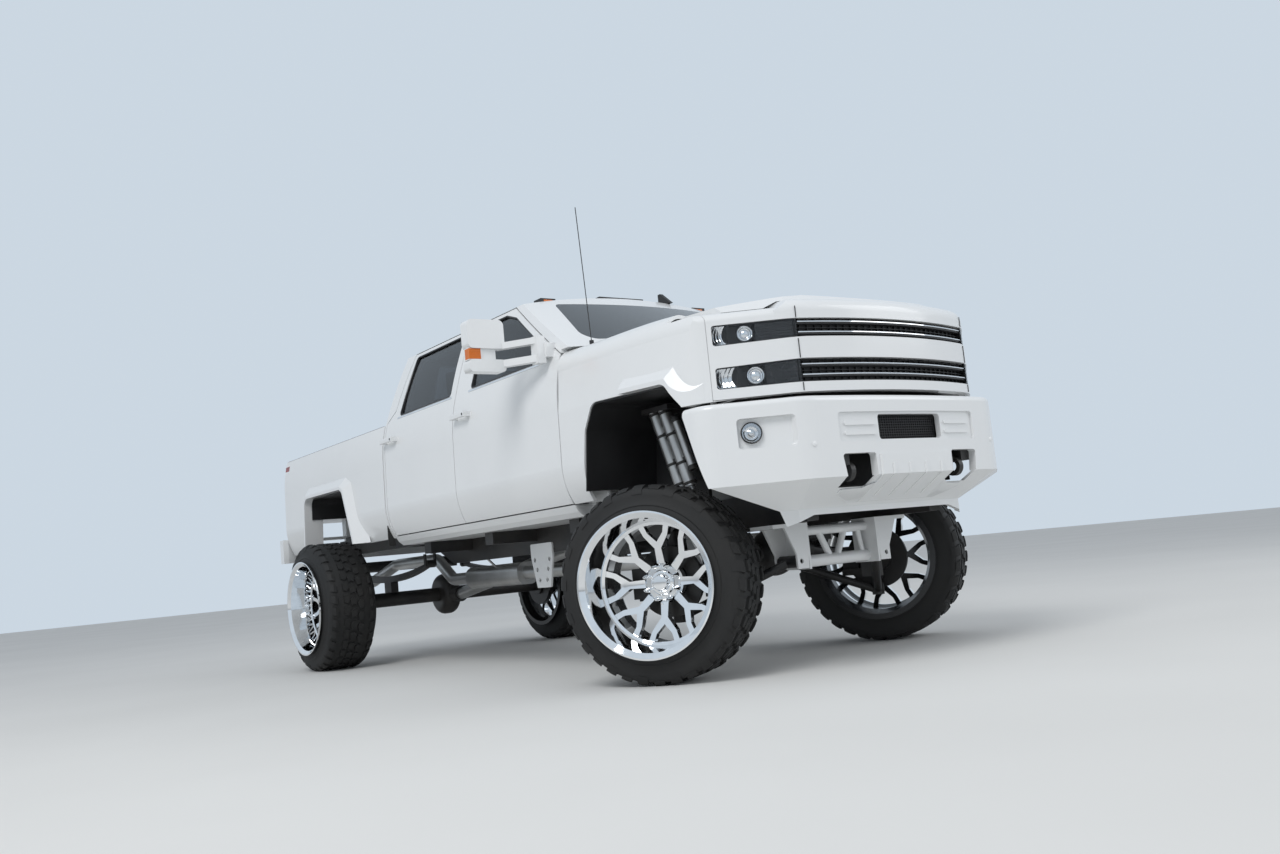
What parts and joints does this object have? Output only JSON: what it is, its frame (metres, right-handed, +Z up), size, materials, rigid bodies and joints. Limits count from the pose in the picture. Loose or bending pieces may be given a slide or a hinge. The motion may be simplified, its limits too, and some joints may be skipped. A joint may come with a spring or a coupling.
{
  "type": "lifted heavy-duty crew-cab pickup truck",
  "caption": "Lifted four-door pickup truck with an open bed, opening doors, hood and tailgate, steered front wheels and stretched tyres on deep-lip rims.",
  "frame": {"origin": "on the ground below the centre of the truck's bounding box", "axes": "+X forward along the truck, +Y to its left, +Z up"},
  "size_m": [6.083, 2.636, 2.4921],
  "materials": {
    "white_paint": "gloss",
    "dark_glass": "gloss",
    "lamp_lens": "gloss",
    "red_lens": "gloss",
    "black_plastic": "satin",
    "black_steel": "satin",
    "silver_metal": "satin",
    "polished_rim": "mirror polish",
    "rubber": "matt",
    "seat_fabric": "matt"
  },
  "bodies": {
    "chassis": {"chassis_frame": "black_steel", "cab_shell": "white_paint", "cab_glass": "dark_glass", "fenders": "white_paint", "wheel_liners": "black_plastic", "radiator_support": "black_steel", "front_fascia": "white_paint", "grille": "black_plastic", "front_lamps": "lamp_lens", "front_bumper": "white_paint", "valance": "white_paint", "tow_hooks": "black_steel", "cowl": "black_plastic", "bed": "white_paint", "tail_lamps": "red_lens", "rear_bumper": "white_paint", "hitch_receiver": "black_steel", "lift_brackets": "white_paint", "control_arms": "black_steel", "front_shocks": "silver_metal", "shock_towers": "black_steel", "front_drive": "black_steel", "rear_axle": "black_steel", "leaf_springs": "black_steel", "drive_shaft": "silver_metal", "power_unit": "silver_metal", "fuel_tank": "black_plastic", "exhaust": "silver_metal", "seats": "seat_fabric", "dashboard": "black_plastic", "steering_wheel": "black_plastic", "roof_lamps": "black_plastic", "fin_aerial": "black_plastic", "mast_aerial": "black_steel"},
    "knuckle_right": {"knuckle_right": "black_steel"},
    "wheel_front_right": {"rim_front_right": "polished_rim", "tyre_front_right": "rubber"},
    "wheel_rear_right": {"rim_rear_right": "polished_rim", "tyre_rear_right": "rubber"},
    "door_front_right": {"door_front_right": "white_paint", "door_glass_front_right": "dark_glass", "mirror_right": "white_paint"},
    "door_rear_right": {"door_rear_right": "white_paint", "door_glass_rear_right": "dark_glass"},
    "knuckle_left": {"knuckle_left": "black_steel"},
    "wheel_front_left": {"rim_front_left": "polished_rim", "tyre_front_left": "rubber"},
    "wheel_rear_left": {"rim_rear_left": "polished_rim", "tyre_rear_left": "rubber"},
    "door_front_left": {"door_front_left": "white_paint", "door_glass_front_left": "dark_glass", "mirror_left": "white_paint"},
    "door_rear_left": {"door_rear_left": "white_paint", "door_glass_rear_left": "dark_glass"},
    "hood": {"hood": "white_paint"},
    "tailgate": {"tailgate": "white_paint"}
  },
  "joints": [
    {"name": "steer_right", "type": "hinge", "parent": "chassis", "child": "knuckle_right", "pos_m": [2.0315, -0.712, 0.47], "axis": [0, 0, 1], "range_deg": [-65.6, 4.4]},
    {"name": "roll_front_right", "type": "hinge", "parent": "knuckle_right", "child": "wheel_front_right", "pos_m": [2.0315, -0.712, 0.47], "axis": [-0.509, 0.8607, 0], "continuous": true},
    {"name": "roll_rear_right", "type": "hinge", "parent": "chassis", "child": "wheel_rear_right", "pos_m": [-1.8725, -0.819, 0.47], "axis": [0, 1, 0], "continuous": true},
    {"name": "door_front_right_hinge", "type": "hinge", "parent": "chassis", "child": "door_front_right", "pos_m": [1.411, -0.957, 1.4], "axis": [0, 0, 1], "range_deg": [0, 65]},
    {"name": "door_rear_right_hinge", "type": "hinge", "parent": "chassis", "child": "door_rear_right", "pos_m": [0.1725, -0.957, 1.4], "axis": [0, 0, 1], "range_deg": [0, 65]},
    {"name": "steer_left", "type": "hinge", "parent": "chassis", "child": "knuckle_left", "pos_m": [2.0315, 0.712, 0.47], "axis": [0, 0, 1], "range_deg": [-65.6, 4.4]},
    {"name": "roll_front_left", "type": "hinge", "parent": "knuckle_left", "child": "wheel_front_left", "pos_m": [2.0315, 0.712, 0.47], "axis": [-0.509, 0.8607, 0], "continuous": true},
    {"name": "roll_rear_left", "type": "hinge", "parent": "chassis", "child": "wheel_rear_left", "pos_m": [-1.8725, 0.819, 0.47], "axis": [0, 1, 0], "continuous": true},
    {"name": "door_front_left_hinge", "type": "hinge", "parent": "chassis", "child": "door_front_left", "pos_m": [1.411, 0.957, 1.4], "axis": [0, 0, -1], "range_deg": [0, 65]},
    {"name": "door_rear_left_hinge", "type": "hinge", "parent": "chassis", "child": "door_rear_left", "pos_m": [0.1725, 0.957, 1.4], "axis": [0, 0, -1], "range_deg": [0, 65]},
    {"name": "hood_hinge", "type": "hinge", "parent": "chassis", "child": "hood", "pos_m": [1.668, 0, 1.712], "axis": [0, -1, 0], "range_deg": [0, 50]},
    {"name": "tailgate_hinge", "type": "hinge", "parent": "chassis", "child": "tailgate", "pos_m": [-2.885, 0, 1.175], "axis": [0, -1, 0], "range_deg": [0, 90]}
  ],
  "couplings": [
    {"joint": "steer_left", "follows": "steer_right", "ratio": 1}
  ]
}
